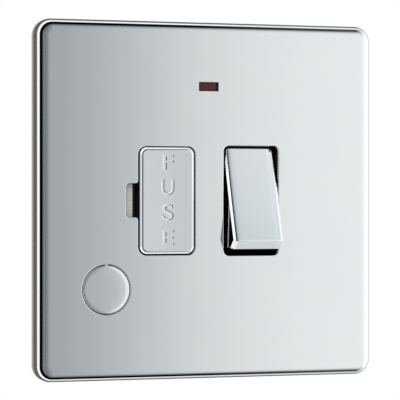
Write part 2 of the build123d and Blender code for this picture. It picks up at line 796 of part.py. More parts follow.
# Pivot posts: forks that the blades rock in, each with a link strip along the rear cover
fork_half_width = blade_width / 2 + fork_clearance + fork_wall
fork_seat_depth = blade_axis_depth + blade_thickness + post_clearance
for name, x, link in (
    ("live_pivot_post", live_x, [(live_x, 0), (live_x, link_z), (fuse_x, link_z), (fuse_x, clip_z)]),
    ("neutral_pivot_post", neutral_x,
     [(neutral_x, 0), (neutral_x, -bridge_z), (terminal_x, -bridge_z), (terminal_x, -terminal_inner_z)]),
):
    with BuildPart() as post:
        with BuildSketch(behind(foot_depth)):
            with BuildLine():
                Polyline(*link)
            trace(line_width=strip_width)
        extrude(amount=-strip_thickness)
        with BuildSketch(behind(housing_depth)):
            with Locations((x, 0)):
                Rectangle(2 * fork_half_width, post_height)
        extrude(amount=housing_depth - blade_axis_depth)
        with BuildSketch(behind(blade_axis_depth)):
            with Locations((x, 0)):
                Rectangle(blade_width + 2 * fork_clearance, post_height)
        extrude(amount=blade_axis_depth - fork_seat_depth, mode=Mode.SUBTRACT)
    save(post, name)

# Fuse clips: sprung jaws open to the front, on legs that stand on the links
jaw_gap = fuse_diameter / 2 + fuse_fit
jaw_floor = fuse_depth + jaw_gap
jaw_front = fuse_depth - clip_jaw_lead
for name, side in (("upper_fuse_clip", 1), ("lower_fuse_clip", -1)):
    with BuildPart() as fuse_clip:
        with BuildSketch(Plane.XY.offset(side * clip_z)):
            with BuildLine():
                Polyline(
                    (fuse_x - jaw_gap - clip_lip, jaw_front - clip_lip),
                    (fuse_x - jaw_gap, jaw_front),
                    (fuse_x - jaw_gap, jaw_floor),
                    (fuse_x + jaw_gap, jaw_floor),
                    (fuse_x + jaw_gap, jaw_front),
                    (fuse_x + jaw_gap + clip_lip, jaw_front - clip_lip),
                )
                offset(amount=clip_thickness, side=Side.LEFT, kind=Kind.INTERSECTION)
            make_face()
        extrude(amount=clip_width / 2, both=True)
        leg_end = foot_depth if side > 0 else housing_depth
        with BuildSketch(behind(jaw_floor)):
            with Locations((fuse_x, side * clip_z)):
                Rectangle(strip_width, strip_width)
        extrude(amount=jaw_floor - leg_end)
        if side < 0:
            with BuildSketch(behind(foot_depth)):
                with Locations((fuse_x, -(clip_z + terminal_inner_z) / 2)):
                    Rectangle(strip_width, terminal_inner_z - clip_z)
            extrude(amount=-strip_thickness)
    save(fuse_clip, name)

# Fuse carrier's plated cap
with BuildPart() as fuse_carrier_cap:
    with BuildSketch(facing(carrier_cap_back_out)):
        with Locations((fuse_x, 0)):
            RectangleRounded(
                fuse_opening_width - 2 * carrier_clearance,
                fuse_opening_height - 2 * carrier_clearance,
                fuse_opening_radius - carrier_clearance,
            )
    extrude(amount=carrier_cap_thickness)
    chamfer(fuse_carrier_cap.faces().sort_by(Axis.Y)[0].edges(), length=carrier_cap_edge)
save(fuse_carrier_cap, "fuse_carrier_cap")

# Fuse carrier: a drawer with cheeks that hold the fuse's barrel
with BuildPart() as fuse_carrier:
    body_width = fuse_opening_width - 2 * carrier_body_clearance
    body_height = fuse_opening_height - 2 * carrier_body_clearance
    cheek_gap = fuse_barrel_diameter / 2 + fuse_fit
    cheek_back_depth = fuse_depth + carrier_cheek_past
    with BuildSketch(facing(carrier_cap_back_out)) as carrier_body:
        with Locations((fuse_x, 0)):
            Rectangle(body_width, body_height)
        chamfer(carrier_body.vertices(), length=carrier_body_corner)
    extrude(amount=-(carrier_cap_back_out + carrier_body_depth))
    with BuildSketch(behind(carrier_body_depth)):
        with Locations((fuse_x, 0)):
            Rectangle(2 * (cheek_gap + carrier_cheek_wall), 2 * carrier_cheek_half_height)
    extrude(amount=carrier_body_depth - cheek_back_depth)
    with BuildSketch(Plane.XY):
        with Locations((fuse_x, fuse_depth)):
            Circle(cheek_gap)
        with Locations((fuse_x, fuse_depth + cheek_gap / 2)):
            Rectangle(2 * cheek_gap, cheek_gap)
    extrude(amount=carrier_cheek_half_height, both=True, mode=Mode.SUBTRACT)
    # Cored pockets above and below the cheeks, and the screwdriver's recess in the left flank
    pocket_height = body_height / 2 - carrier_cheek_half_height - 2 * carrier_wall
    pocket_z = carrier_cheek_half_height + carrier_wall + pocket_height / 2
    with BuildSketch(behind(carrier_body_depth)):
        with Locations((fuse_x, pocket_z), (fuse_x, -pocket_z)):
            Rectangle(body_width - 2 * carrier_wall, pocket_height)
    extrude(amount=carrier_cap_back_out + carrier_body_depth - carrier_wall, mode=Mode.SUBTRACT)
    with BuildSketch(facing(carrier_cap_back_out)):
        with Locations((fuse_x - body_width / 2, 0)):
            Rectangle(2 * carrier_grip_recess, notch_height)
    extrude(amount=-2 * carrier_grip_recess, mode=Mode.SUBTRACT)
save(fuse_carrier, "fuse_carrier")

# Cartridge fuse: a ceramic barrel and two plated end caps
with BuildPart() as fuse_barrel:
    with BuildSketch(Plane.XY):
        with Locations((fuse_x, fuse_depth)):
            Circle(fuse_barrel_diameter / 2)
    extrude(amount=fuse_length / 2 - fuse_cap_length, both=True)
save(fuse_barrel, "fuse_barrel")

with BuildPart() as fuse_end_caps:
    for side in (1, -1):
        with BuildSketch(Plane.XY.offset(side * fuse_length / 2)):
            with Locations((fuse_x, fuse_depth)):
                Circle(fuse_diameter / 2)
        extrude(amount=-side * fuse_cap_length)
save(fuse_end_caps, "fuse_end_caps")

# Terminals: brass cages with a square way for the wire and a screw from behind
terminal_names = (
    "neutral_supply_terminal", "supply_earth_terminal", "live_supply_terminal",
    "live_load_terminal", "load_earth_terminal", "neutral_load_terminal",
)
for name, (x, side) in zip(terminal_names, terminal_places):
    with BuildPart() as terminal:
        with BuildSketch(behind(terminal_front_depth)):
            with Locations((x, side * terminal_mid_z)):
                Rectangle(terminal_width, terminal_height)
        extrude(amount=-terminal_length)
        with BuildSketch(Plane.XY.offset(side * terminal_outer_z)):
            with Locations((x, wire_way_mid_depth)):
                Rectangle(wire_way_width, wire_way_depth)
        extrude(amount=-side * wire_way_length, mode=Mode.SUBTRACT)
        with BuildSketch(behind(housing_depth)):
            with Locations((x, side * terminal_mid_z)):
                Circle(terminal_screw_diameter / 2)
        extrude(amount=wire_way_back, mode=Mode.SUBTRACT)
    save(terminal, name)

# Terminal screws, backed off so that the wire ways are clear
with BuildPart() as terminal_screws:
    screw_tip_depth = wire_way_mid_depth + wire_way_depth / 2 + terminal_screw_lift
    screw_end_depth = screw_tip_depth + terminal_screw_length
    with BuildSketch(behind(screw_end_depth)):
        with GridLocations(terminal_x, 2 * terminal_mid_z, 3, 2):
            Circle(terminal_screw_diameter / 2 - terminal_screw_fit)
    extrude(amount=terminal_screw_length)
    with BuildSketch(behind(screw_end_depth)):
        with GridLocations(terminal_x, 2 * terminal_mid_z, 3, 2):
            Rectangle(terminal_slot_width, 2 * terminal_screw_diameter)
    extrude(amount=terminal_slot_depth, mode=Mode.SUBTRACT)
save(terminal_screws, "terminal_screws")

# Pilot light: a lens that sits on the frame, and behind it a lamp in line with its resistor
with BuildPart() as neon_lens:
    with BuildSketch(facing(lens_tail_out)):
        with Locations((0, neon_z)):
            Rectangle(neon_window_width - 2 * lens_clearance, neon_window_height - 2 * lens_clearance)
    extrude(amount=plate_out - lens_recess - lens_tail_out)
    with BuildSketch(facing(platform_out)):
        with Locations((0, neon_z)):
            Rectangle(neon_window_width + 2 * lens_flange, neon_window_height + 2 * lens_flange)
    extrude(amount=lens_flange_thickness)
save(neon_lens, "neon_lens")

with BuildPart() as neon_lamp:
    with BuildSketch(Plane.YZ):
        with Locations((lamp_depth, neon_z)):
            Circle(lamp_diameter / 2)
    extrude(amount=lamp_length / 2, both=True)
save(neon_lamp, "neon_lamp")

with BuildPart() as neon_resistor:
    with BuildSketch(Plane.YZ.offset(lamp_length / 2)):
        with Locations((lamp_depth, neon_z)):
            Rectangle(lead_width, lead_width)
    extrude(amount=lead_length)
    with BuildSketch(Plane.YZ.offset(resistor_x)):
        with Locations((lamp_depth, neon_z)):
            Circle(resistor_diameter / 2)
    extrude(amount=resistor_length / 2, both=True)
save(neon_resistor, "neon_resistor")

# Earth strap: joins the two earth terminals, and its arm presses on the back of the front plate
with BuildPart() as earth_strap:
    with BuildSketch(Plane.YZ):
        with Locations((strap_front_depth + strap_width / 2, 0)):
            Rectangle(strap_width, 2 * terminal_inner_z)
        arm_tip = -(plate_back_out - strap_touch_gap)
        with Locations(((arm_tip + strap_front_depth) / 2, 0)):
            Rectangle(strap_front_depth - arm_tip, strap_arm_height)
    extrude(amount=strip_thickness / 2, both=True)
    chamfer(earth_strap.edges().filter_by(Axis.X).group_by(Axis.Y)[0], length=strap_width / 2)
save(earth_strap, "earth_strap")
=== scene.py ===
import math

import bpy
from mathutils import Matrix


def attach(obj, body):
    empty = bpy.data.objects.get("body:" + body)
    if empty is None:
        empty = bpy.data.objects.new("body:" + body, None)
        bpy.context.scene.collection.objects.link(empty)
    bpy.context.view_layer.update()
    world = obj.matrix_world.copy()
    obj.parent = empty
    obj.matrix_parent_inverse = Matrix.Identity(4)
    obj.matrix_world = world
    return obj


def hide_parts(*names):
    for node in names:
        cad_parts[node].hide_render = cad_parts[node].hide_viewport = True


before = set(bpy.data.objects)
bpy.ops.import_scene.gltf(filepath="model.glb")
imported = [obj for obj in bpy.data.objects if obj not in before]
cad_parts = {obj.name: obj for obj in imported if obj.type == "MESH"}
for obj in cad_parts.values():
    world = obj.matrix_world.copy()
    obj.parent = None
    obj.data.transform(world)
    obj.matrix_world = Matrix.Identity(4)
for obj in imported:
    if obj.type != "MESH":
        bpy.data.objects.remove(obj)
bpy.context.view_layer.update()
scene = bpy.context.scene
scene.view_settings.view_transform = "Standard"

# A chrome fused spur unit. The wall is Y = 0, the front faces -Y, +X is to the right and +Z is up.
# "Out" is a distance in front of the wall.
mm = 0.001
across = (1, 0, 0)
upright = (0, 0, 1)

# Limits used to choose parts of a mesh: places this near are taken as one, and a face looks along
# an axis when its normal has at least this share along it
touch = 0.01 * mm
hair = 0.001 * mm
facing = 0.9
facing_nearly = 0.95
facing_squarely = 0.999

# Front plate
plate_size = 86 * mm
plate_corner = 4 * mm
plate_corner_steps = 14
plate_out = 4.5 * mm
rim_out = 1.7 * mm
sheet = 1.0 * mm
edge_width = 3.2 * mm
edge_depth = 2.0 * mm
edge_steps = 18
cut_edge = 0.24 * mm
cut_edge_steps = 4
fine_edge = 0.05 * mm
opening_steps = 8
rocker_x = 11 * mm
rocker_shift = 0.2 * mm
rocker_opening_z = -0.1 * mm
rocker_opening = (14.1 * mm, 26.6 * mm)
rocker_opening_corner = 1.3 * mm
fuse_x = -10.6 * mm
fuse_z = -0.12 * mm
fuse_opening = (14.3 * mm, 26.05 * mm)
fuse_opening_corner = 2.0 * mm
notch_reach = 3.1 * mm
notch_height = 8.0 * mm
notch_corner = 0.9 * mm
notch_blend = 0.8 * mm
notch_steps = 6
neon_z = 27.4 * mm
neon_window_centre = (0.08 * mm, neon_z + 0.03 * mm)
neon_window = (5.05 * mm, 2.23 * mm)
neon_window_corner = 0.15 * mm
neon_window_steps = 3

# Knock-out for the flex: a disc in a round hole, held by one tie. Each ring of its dome has a width
# and a rise
outlet = (-25.74 * mm, -21.25 * mm)
outlet_radius = 5.975 * mm
outlet_groove = 0.16 * mm
round_sides = 96
tie = (0.75 * mm, 0.9 * mm)
tie_thinning = 0.09 * mm
disc_set_back = 0.04 * mm
disc_front_zone = 0.05 * mm
disc_edge = 0.25 * mm
disc_edge_steps = 5
disc_drift = 0.85
disc_rings = ((0.5 * mm, 0.012 * mm), (0.6 * mm, 0.007 * mm), (0.8 * mm, 0.004 * mm))

# Rocker, in its own frame before it is tilted: its face looks along -Y and its length is along Z.
# Columns are measured in from the face's sides, and each falls back by its own amount on the left
# (-1) and the right (1)
pivot_out = 1.4 * mm
rocker_tilt = math.radians(17.3)
ridge_half = 11.53 * mm
ridge_forward = 5.12 * mm
shoulder_half = 11.89 * mm
shoulder_forward = 4.94 * mm
knee_half = 13.1 * mm
knee_forward = 2.59 * mm
skirt_half = 12.3 * mm
skirt_back = 2.2 * mm
rocker_half_width = 6.84 * mm
rocker_taper = math.radians(3)
face_hollow = 0.2 * mm
face_rows = 20
row_limit = 3 * mm
side_columns = (2.4 * mm, 2.0 * mm, 1.6 * mm, 1.2 * mm, 0)
side_falls = {
    -1: (0, 0.001 * mm, 0.003 * mm, 0.008 * mm, 0.03 * mm),
    1: (0, 0.006 * mm, 0.026 * mm, 0.07 * mm, 0.36 * mm),
}
column_zone = 0.05 * mm
side_slope = 0.6 * mm
side_slope_depth = 0.48 * mm
side_soft = 0.24 * mm
side_soft_steps = 6
side_zone = 0.06 * mm
slope_end_gap = 0.1 * mm
rocker_edge = 0.06 * mm
cap_wall = 0.9 * mm
trunnion_slot = 1.3 * mm

# Fuse carrier's cap. Each letter has a height on the cap and a widening
carrier_cap = (13.7 * mm, 25.45 * mm)
carrier_shift = (0.06 * mm, 0.05 * mm)
carrier_cap_corner = 1.75 * mm
carrier_corner_steps = 12
carrier_out = 5.0 * mm
carrier_cap_back = 3.8 * mm
carrier_slope = 0.5 * mm
carrier_soft = 0.25 * mm
carrier_soft_steps = 8
carrier_hollow = 0.024 * mm
carrier_columns = 8
letter_height = 3.7 * mm
capital_share = 0.72
letter_bevel = 0.22 * mm
letter_depth = 0.06 * mm
letter_swell = 0.15 * mm
letter_rows = {
    "F": (8.95 * mm, 1.3), "U": (2.95 * mm, 1.0), "S": (-3.05 * mm, 1.3), "E": (-9.15 * mm, 1.25),
}
letter_x = -10.5 * mm

# Pilot-light lens
lens_x = -0.17 * mm
lens_z = neon_z + 0.165 * mm
lens = (4.44 * mm, 1.82 * mm)
lens_front = 4.1 * mm
lens_tail = 0.2 * mm
lens_edge = 0.03 * mm
flange = 0.8 * mm
flange_out = (3.1 * mm, 3.4 * mm)
rib_count = 6
rib_height = 0.1 * mm
rib_zone = 0.5 * mm

# Studio: where the panel's middle lies, how far its edge and the walls' edge move out as a
# direction turns up or down, and how much of the light the chrome gives back
panel_turn = math.radians(19.5)
panel_drop = math.radians(3.5)
panel_growth = 0.184
wall_growth = 0.14
chrome_level = 0.9
fill_light = 0.7
white = (1, 1, 1, 1)
floor_radius = 0.35
floor_z = -0.12
floor_sides = 64

# Camera, from the plate's outline in the photograph
camera_azimuth = math.radians(-19.5)
camera_distance = 548 * mm
camera_lens = 202.8
camera_sensor = 36
camera_clip = 0.01
aim_left = 0.55 * mm
aim_up = 0.08 * mm


# Modelling helpers

def clear():
    """Leave edit mode and select nothing, before a new piece is started."""
    if bpy.context.object and bpy.context.object.mode != "OBJECT":
        bpy.ops.object.mode_set(mode="OBJECT")
    bpy.ops.object.select_all(action="DESELECT")


def take(piece):
    """Make one piece the only one selected."""
    clear()
    piece.select_set(True)
    bpy.context.view_layer.objects.active = piece


def everything(*place):
    """A test that every face, edge and corner passes."""
    return True


def pick(piece, kind, test):
    """Select the faces, edges or corners for which a test on their place holds, in edit mode."""
    take(piece)
    mesh = piece.data
    places = [corner.co for corner in mesh.vertices]
    if kind == "FACE":
        chosen = [test(face.center, face.normal) for face in mesh.polygons]
    elif kind == "EDGE":
        chosen = [test(places[edge.vertices[0]], places[edge.vertices[1]]) for edge in mesh.edges]
    else:
        chosen = [test(place) for place in places]
    for part in (mesh.vertices, mesh.edges, mesh.polygons):
        part.foreach_set("select", [False] * len(part))
    part = {"VERT": mesh.vertices, "EDGE": mesh.edges, "FACE": mesh.polygons}[kind]
    part.foreach_set("select", chosen)
    scene.tool_settings.mesh_select_mode = (kind == "VERT", kind == "EDGE", kind == "FACE")
    bpy.ops.object.mode_set(mode="EDIT")


def settle(piece):
    """Put a piece's place, turn and scale into its mesh."""
    take(piece)
    bpy.ops.object.transform_apply(location=True, rotation=True, scale=True)


def draw_out(x=0, y=0, z=0):
    """Extrude the selected faces by a distance along each axis."""
    bpy.ops.mesh.extrude_region_move(TRANSFORM_OT_translate={"value": (x, y, z)})


def soften(width, steps):
    """Bevel the selected edges."""
    bpy.ops.mesh.bevel(offset=width, segments=steps, affect="EDGES")


def part_faces(piece, test, place, axis):
    """Part the chosen faces where a plane square to an axis crosses them."""
    pick(piece, "FACE", test)
    bpy.ops.mesh.bisect(plane_co=[place * share for share in axis], plane_no=axis)


def modify(piece, kind, **settings):
    """Add a modifier, set it and apply it."""
    take(piece)
    step = piece.modifiers.new(kind.lower(), kind)
    for name, value in settings.items():
        setattr(step, name, value)
    bpy.ops.object.modifier_apply(modifier=step.name)


def thicken(piece, thickness):
    """Give an open shape a wall, on its inner side."""
    modify(piece, "SOLIDIFY", thickness=thickness, offset=-1, use_even_offset=True)


def combine(piece, tool, operation, crossing=False):
    """Cut a tool's shape out of a piece, or join it on. One that crosses itself needs more care."""
    modify(
        piece, "BOOLEAN", operation=operation, solver="EXACT", use_self=crossing, object=tool
    )
    bpy.data.objects.remove(tool)


def cut(piece, tool, crossing=False):
    """Cut a tool's shape out of a piece."""
    combine(piece, tool, "DIFFERENCE", crossing)


def polish(piece, edge, steps=3, smooth=30, weight=100, clamp=True):
    """Break the sharp edges of a piece and keep its flat faces flat to the eye."""
    take(piece)
    bpy.ops.object.shade_smooth_by_angle(angle=math.radians(smooth))
    modify(
        piece, "BEVEL", width=edge, segments=steps, limit_method="ANGLE",
        angle_limit=math.radians(30), harden_normals=True, use_clamp_overlap=clamp,
    )
    modify(piece, "WEIGHTED_NORMAL", keep_sharp=True, weight=weight)


def block(name, centre, size):
    """A block at its size and place, as the start of a piece."""
    clear()
    bpy.ops.mesh.primitive_cube_add(size=1, location=centre, scale=size)
    piece = bpy.context.object
    piece.name = name
    settle(piece)
    return piece


def rounded_block(name, x, z, width, height, back, front, corner, steps):
    """A block between two distances in front of the wall, with its four corners rounded."""
    piece = block(name, (x, -(back + front) / 2, z), (width, front - back, height))
    pick(piece, "EDGE", lambda a, b: abs(a.y - b.y) > (front - back) / 2)
    soften(corner, steps)
    take(piece)
    return piece


def disc(name, x, z, radius, back, front):
    """A round block between two distances in front of the wall."""
    clear()
    bpy.ops.mesh.primitive_circle_add(
        vertices=round_sides, radius=radius, fill_type="NGON",
        rotation=(math.pi / 2, 0, 0), location=(x, -back, z),
    )
    piece = bpy.context.object
    piece.name = name
    settle(piece)
    pick(piece, "FACE", everything)
    draw_out(y=back - front)
    bpy.ops.mesh.select_all(action="SELECT")
    bpy.ops.mesh.normals_make_consistent(inside=False)
    take(piece)
    return piece


# Front plate: a pressed tray with a soft edge, wider across its face than down its side
def make_front_plate():
    stretch = edge_width / edge_depth
    side = (plate_out - rim_out) * stretch
    plate = rounded_block(
        "plate_front", 0, 0, plate_size, plate_size, rim_out, rim_out + side,
        plate_corner, plate_corner_steps,
    )
    face = -(rim_out + side)
    pick(plate, "EDGE", lambda a, b: max(abs(a.y - face), abs(b.y - face)) < touch)
    soften(edge_width, edge_steps)
    bpy.ops.mesh.select_all(action="SELECT")
    bpy.ops.transform.resize(value=(1, 1 / stretch, 1), center_override=(0, -rim_out, 0))
    pick(plate, "FACE", lambda place, normal: normal.y > facing)
    bpy.ops.mesh.delete(type="FACE")
    thicken(plate, sheet)

    through = (rim_out, plate_out + sheet)
    cut(plate, rounded_block(
        "rocker_opening", rocker_x, rocker_opening_z, *rocker_opening, *through,
        rocker_opening_corner, opening_steps,
    ))
    cut(plate, fuse_opening_tool(through))
    cut(plate, disc("outlet_hole", *outlet, outlet_radius, *through))
    # The tiny corners of the pilot light's window would hold back these wide edges, so the window
    # is cut afterwards and its own edges are only just broken
    polish(plate, cut_edge, steps=cut_edge_steps, clamp=False)
    cut(plate, rounded_block(
        "neon_opening", *neon_window_centre, *neon_window, *through,
        neon_window_corner, neon_window_steps,
    ))
    polish(plate, fine_edge)
    return plate


def fuse_opening_tool(through):
    """The carrier's opening with the screwdriver notch in its left side, as one block."""
    tool = rounded_block(
        "fuse_opening", fuse_x, fuse_z, *fuse_opening, *through, fuse_opening_corner, opening_steps
    )
    left = fuse_x - fuse_opening[0] / 2
    half = notch_height / 2
    # The left side is parted where the notch begins and ends, and the middle drawn out
    for z in (half, -half):
        part_faces(tool, everything, z, upright)
    pick(tool, "FACE", lambda place, normal: normal.x < -facing and abs(place.z) < half)
    draw_out(x=-notch_reach)
    for reach, radius in ((notch_reach, notch_corner), (0, notch_blend)):
        pick(tool, "EDGE", lambda a, b: abs(a.y - b.y) > sheet
             and abs(abs(a.z) - half) < touch and abs(a.x - left + reach) < touch)
        soften(radius, notch_steps)
    take(tool)
    return tool


# Knock-out: a faintly domed disc with a soft rim and one tie at its top
def make_knock_out():
    plug = disc(
        "knock_out", *outlet, outlet_radius - outlet_groove,
        plate_out - sheet, plate_out - disc_set_back,
    )
    pick(plug, "EDGE", lambda a, b: max(a.y, b.y) < -plate_out + disc_front_zone)
    soften(disc_edge, disc_edge_steps)
    pick(plug, "FACE", lambda place, normal: normal.y < -facing_squarely)
    # Each ring's middle drifts left, so that the dome falls away more slowly to the right
    for width, rise in disc_rings:
        bpy.ops.mesh.inset(thickness=width, depth=rise)
        bpy.ops.transform.translate(value=(-disc_drift * width, 0, 0))
    # The tie runs from inside the rim into the plate
    bridge = block(
        "tie", (outlet[0], -plate_out + sheet / 2, outlet[1] + outlet_radius),
        (tie[0], sheet - tie_thinning, tie[1]),
    )
    combine(plug, bridge, "UNION")
    polish(plug, fine_edge, weight=90)
    return plug


def rocker_width(forward):
    """Half the rocker's width at a distance in front of its pivot."""
    return rocker_half_width - (forward + skirt_back) * math.tan(rocker_taper)


# Rocker cap: a plated shell with a hollowed face, modelled upright and then tilted
def make_rocker_cap():
    cap = block(
        "rocker_shell", (0, (skirt_back - knee_forward) / 2, 0),
        (2 * rocker_half_width, knee_forward + skirt_back, 2 * skirt_half),
    )
    # The front is widened to the knee, then drawn out and narrowed to the shoulders and the ridges
    pick(cap, "FACE", lambda place, normal: normal.y < -facing)
    reached, length = knee_forward, skirt_half
    narrow = rocker_half_width
    for forward, half in (
        (knee_forward, knee_half), (shoulder_forward, shoulder_half), (ridge_forward, ridge_half),
    ):
        if forward > reached:
            draw_out(y=reached - forward)
        bpy.ops.transform.resize(
            value=(rocker_width(forward) / narrow, 1, half / length),
            center_override=(0, -forward, 0),
        )
        reached, length, narrow = forward, half, rocker_width(forward)
    pick(cap, "FACE", lambda place, normal: normal.y > facing)
    bpy.ops.mesh.delete(type="FACE")
    # Each side is made one face, so that it takes the hollow's curve without folding
    pick(cap, "EDGE", lambda a, b: abs(a.y - b.y) < touch and abs(a.z - b.z) > row_limit
         and touch - ridge_forward < a.y < skirt_back - touch)
    bpy.ops.mesh.dissolve_edges(use_verts=False)
    # The face is parted into rows, which are set back to hollow it
    rows = [ridge_half * (2 * row / face_rows - 1) for row in range(1, face_rows)]
    for z in rows:
        part_faces(cap, lambda place, normal: normal.y < -facing_nearly, z, upright)
    for z in rows:
        pick(cap, "VERT", lambda place: abs(place.z - z) < touch
             and place.y < -ridge_forward + touch)
        bpy.ops.transform.translate(value=(0, face_hollow * (1 - (z / ridge_half) ** 2), 0))
    # Columns near the sides fall away, then the side edges are sloped and softened
    for distance in side_columns[:-1]:
        for x in (narrow - distance, distance - narrow):
            part_faces(cap, everything, x, across)
    for side, falls in side_falls.items():
        for distance, fall in zip(side_columns, falls):
            pick(cap, "VERT", lambda place: abs(side * place.x - narrow + distance) < column_zone
                 and place.y < -shoulder_forward + face_hollow + touch)
            bpy.ops.transform.translate(value=(0, fall, 0))
    thicken(cap, cap_wall)
    # The slope is wider across the face than down the side, so it is made in a stretched shape
    stretch = side_slope / side_slope_depth
    pick(cap, "VERT", everything)
    bpy.ops.transform.resize(value=(1, stretch, 1), center_override=(0, 0, 0))
    for inset, width, steps in ((0, side_slope, 1), (side_slope, side_soft, side_soft_steps)):
        pick(cap, "EDGE", lambda a, b: a.x * b.x > 0 and abs(a.z - b.z) < row_limit
             and min(a.y, b.y) < skirt_back * stretch - touch
             and max(
                 abs(abs(p.x) - rocker_width(-p.y / stretch) + inset) for p in (a, b)
             ) < side_zone)
        soften(width, steps)
        if inset == 0:
            # Two corners at each end of the slope come so close that they are made one
            bpy.ops.mesh.select_all(action="SELECT")
            bpy.ops.mesh.remove_doubles(threshold=slope_end_gap)
    pick(cap, "VERT", everything)
    bpy.ops.transform.resize(value=(1, 1 / stretch, 1), center_override=(0, 0, 0))
    # Slots in the sides for the trunnions
    cut(cap, block(
        "trunnion_slots", (0, skirt_back / 2, 0),
        (4 * rocker_half_width, skirt_back + 2 * trunnion_slot, 2 * trunnion_slot),
    ))
    polish(cap, rocker_edge, smooth=20, weight=50)
    cap.rotation_euler = (-rocker_tilt, 0, 0)
    cap.location = (rocker_x + rocker_shift, -pivot_out, 0)
    settle(cap)
    return cap


# Fuse carrier's cap: a plated cover with a sloping edge and the word FUSE pressed into it
def make_carrier_cap():
    middle = fuse_x + carrier_shift[0]
    cap = rounded_block(
        "carrier_cover", middle, fuse_z + carrier_shift[1], *carrier_cap,
        carrier_cap_back, carrier_out, carrier_cap_corner, carrier_corner_steps,
    )
    for width, steps in ((carrier_slope, 1), (carrier_soft, carrier_soft_steps)):
        pick(cap, "EDGE", lambda a, b: max(a.y, b.y) < -carrier_out + touch)
        soften(width, steps)
    # The face is parted into columns, which are set back to hollow it very slightly
    half = carrier_cap[0] / 2 - carrier_slope - carrier_soft
    columns = [2 * column / carrier_columns - 1 for column in range(1, carrier_columns)]
    for column in columns:
        part_faces(
            cap, lambda place, normal: normal.y < -facing_squarely, middle + half * column, across
        )
    for column in columns:
        pick(cap, "VERT", lambda place: abs(place.x - middle - half * column) < touch
             and place.y < -carrier_out + touch)
        bpy.ops.transform.translate(value=(0, carrier_hollow * (1 - column ** 2), 0))
    for letter, (z, widening) in letter_rows.items():
        cut(cap, letter_tool(letter, z, widening), crossing=True)
    polish(cap, fine_edge, steps=2, smooth=9, weight=50)
    return cap


def letter_tool(letter, z, widening):
    """One letter with gently sloping sides, widest at the cap's face."""
    clear()
    bpy.ops.object.text_add()
    tool = bpy.context.object
    tool.data.body = letter
    tool.data.align_x = "CENTER"
    tool.data.align_y = "CENTER"
    tool.data.size = letter_height / capital_share
    tool.data.bevel_depth = letter_bevel
    tool.data.bevel_resolution = 0
    tool.data.offset = letter_swell - letter_bevel
    bpy.ops.object.convert(target="MESH")
    tool.scale = (widening, 1, letter_depth / letter_bevel)
    tool.rotation_euler = (math.pi / 2, 0, 0)
    tool.location = (letter_x, -carrier_out + carrier_hollow, z)
    settle(tool)
    pick(tool, "VERT", everything)
    bpy.ops.mesh.remove_doubles(threshold=hair)
    bpy.ops.mesh.normals_make_consistent(inside=False)
    take(tool)
    return tool


# Pilot-light lens: a stepped plug with fine ribs across its front
def make_lens():
    plug = block(
        "pilot_lens", (lens_x, -(lens_tail + flange_out[0]) / 2, lens_z),
        (lens[0], flange_out[0] - lens_tail, lens[1]),
    )
    pick(plug, "FACE", lambda place, normal: normal.y < -facing)
    grown = ((lens[0] + 2 * flange) / lens[0], 1, (lens[1] + 2 * flange) / lens[1])
    centre = (lens_x, 0, lens_z)
    draw_out()
    bpy.ops.transform.resize(value=grown, center_override=centre)
    draw_out(y=flange_out[0] - flange_out[1])
    draw_out()
    bpy.ops.transform.resize(value=[1 / side for side in grown], center_override=centre)
    draw_out(y=flange_out[1] - lens_front + rib_height)
    # Ribs: the front is parted into rows, and every other parting line is drawn out
    root = -(lens_front - rib_height)
    for row in range(1, 2 * rib_count):
        z = lens_z + lens[1] * (row / (2 * rib_count) - 0.5)
        part_faces(plug, lambda place, normal: place.y < root + rib_zone, z, upright)
    pick(plug, "VERT", lambda place: abs(place.y - root) < hair
         and round((place.z - lens_z + lens[1] / 2) / lens[1] * 2 * rib_count) % 2 == 1)
    bpy.ops.transform.translate(value=(0, -rib_height, 0))
    polish(plug, lens_edge, steps=2)
    return plug


# Materials

def colour(code):
    """An sRGB hex colour as linear red, green, blue and alpha."""
    parts = [int(code[i:i + 2], 16) / 255 for i in (1, 3, 5)]
    return [p / 12.92 if p <= 0.04045 else ((p + 0.055) / 1.055) ** 2.4 for p in parts] + [1.0]


def add(tree, kind, inputs, **settings):
    """Add a node, set it, and give each input its value or the output that feeds it."""
    made = tree.nodes.new("ShaderNode" + kind)
    for name, value in settings.items():
        setattr(made, name, value)
    for name, value in inputs.items():
        if isinstance(value, bpy.types.NodeSocket):
            tree.links.new(value, made.inputs[name])
        else:
            made.inputs[name].default_value = value
    return made


def mix(tree, share, first, second, blend="MIX"):
    """Mix two colours and give the output that carries the result."""
    inputs = {0: share, 6: first, 7: second}
    return add(tree, "Mix", inputs, data_type="RGBA", blend_type=blend).outputs[2]


def surface(name, light, dark, grain, rough, bump=0.0, stretch=(1, 1, 1), **shader):
    """A finish whose colour and gloss wander between two values over a grain of a real size."""
    material = bpy.data.materials.new(name)
    material.use_nodes = True
    tree = material.node_tree
    principled = tree.nodes["Principled BSDF"]
    place = add(tree, "TexCoord", {})
    turned = add(tree, "Mapping", {"Vector": place.outputs["Object"], "Scale": stretch})
    noise = add(tree, "TexNoise", {
        "Vector": turned.outputs["Vector"], "Scale": 1 / grain, "Detail": 3.0, "Roughness": 0.55,
    }).outputs["Fac"]
    gloss = add(tree, "MapRange", {
        "Value": noise, "From Min": 0.3, "From Max": 0.7, "To Min": rough[0], "To Max": rough[1],
    })
    tint = mix(tree, noise, colour(dark), colour(light))
    tree.links.new(tint, principled.inputs["Base Color"])
    tree.links.new(gloss.outputs["Result"], principled.inputs["Roughness"])
    if bump:
        relief = add(tree, "Bump", {"Height": noise, "Distance": bump, "Strength": 1.0})
        tree.links.new(relief.outputs["Normal"], principled.inputs["Normal"])
    for socket, value in shader.items():
        principled.inputs[socket.replace("_", " ")].default_value = value
    return material


